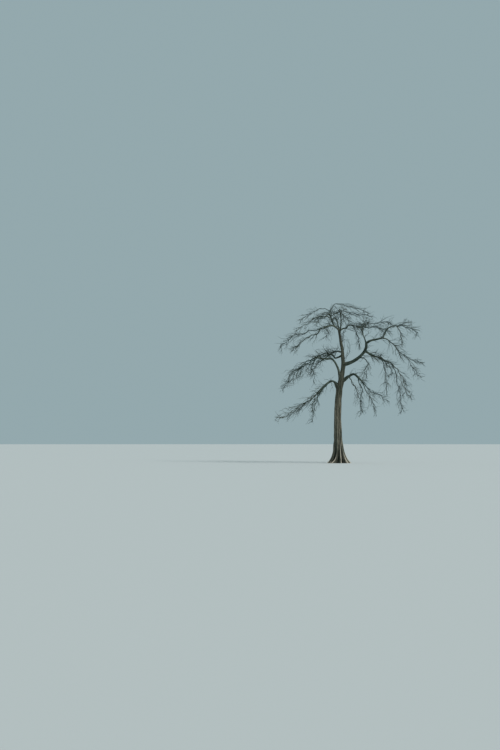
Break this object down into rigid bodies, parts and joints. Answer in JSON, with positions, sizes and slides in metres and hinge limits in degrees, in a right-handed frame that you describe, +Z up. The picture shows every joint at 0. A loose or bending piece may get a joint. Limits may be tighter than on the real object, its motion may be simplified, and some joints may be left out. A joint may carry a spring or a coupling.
{
  "type": "dead tree",
  "caption": "Tall bare dead tree with a fluted, buttressed trunk, winding boughs and a wide crown of drooping twigs.",
  "frame": {"origin": "middle of the flat cut under the trunk, at ground level", "axes": "+Z up, X to the right and +Y to the back as the picture sees the tree"},
  "size_m": [15.1115, 11.9064, 15.997],
  "materials": {
    "trunk_bark": "weathered, fluted grey-brown bark",
    "bough_bark": "rough dark greenish grey bark",
    "twigs": "dry bare wood"
  },
  "bodies": {
    "root": {"bough_back_top": "bough_bark", "bough_front_top": "bough_bark", "bough_left_arm": "bough_bark", "bough_left_curl": "bough_bark", "bough_left_low": "bough_bark", "bough_left_low_back": "bough_bark", "bough_left_mid": "bough_bark", "bough_left_top": "bough_bark", "bough_low_back": "bough_bark", "bough_low_front": "bough_bark", "bough_mid_back": "bough_bark", "bough_mid_front": "bough_bark", "bough_right_arm": "bough_bark", "bough_right_crook": "bough_bark", "bough_right_cross": "bough_bark", "bough_right_knee": "bough_bark", "bough_right_low": "bough_bark", "bough_right_low_outer": "bough_bark", "bough_right_outer": "bough_bark", "bough_right_riser": "bough_bark", "bough_top_right": "bough_bark", "bough_top_riser": "bough_bark", "trunk": "trunk_bark", "twigs_back_top": "twigs", "twigs_crown_right": "twigs", "twigs_front_top": "twigs", "twigs_front_top_left": "twigs", "twigs_knee_drop": "twigs", "twigs_knee_main": "twigs", "twigs_knee_outer": "twigs", "twigs_left_curl_drop": "twigs", "twigs_left_low_back": "twigs", "twigs_left_low_drop": "twigs", "twigs_left_low_main": "twigs", "twigs_left_mid_back": "twigs", "twigs_left_mid_drop": "twigs", "twigs_left_mid_front": "twigs", "twigs_left_mid_main": "twigs", "twigs_left_top_outer": "twigs", "twigs_low_back": "twigs", "twigs_low_front": "twigs", "twigs_low_right_back": "twigs", "twigs_low_right_drop": "twigs", "twigs_low_right_inner": "twigs", "twigs_low_right_main": "twigs", "twigs_mid_back": "twigs", "twigs_mid_front": "twigs", "twigs_right_crook_drop": "twigs", "twigs_right_fall": "twigs", "twigs_right_point": "twigs", "twigs_right_top": "twigs", "twigs_right_top_high": "twigs", "twigs_top": "twigs", "twigs_top_back": "twigs", "twigs_top_inner_left": "twigs", "twigs_top_inner_right": "twigs", "twigs_top_left": "twigs", "twigs_top_right": "twigs", "twigs_top_right_back": "twigs", "twigs_top_right_drop": "twigs"}
  },
  "joints": []
}
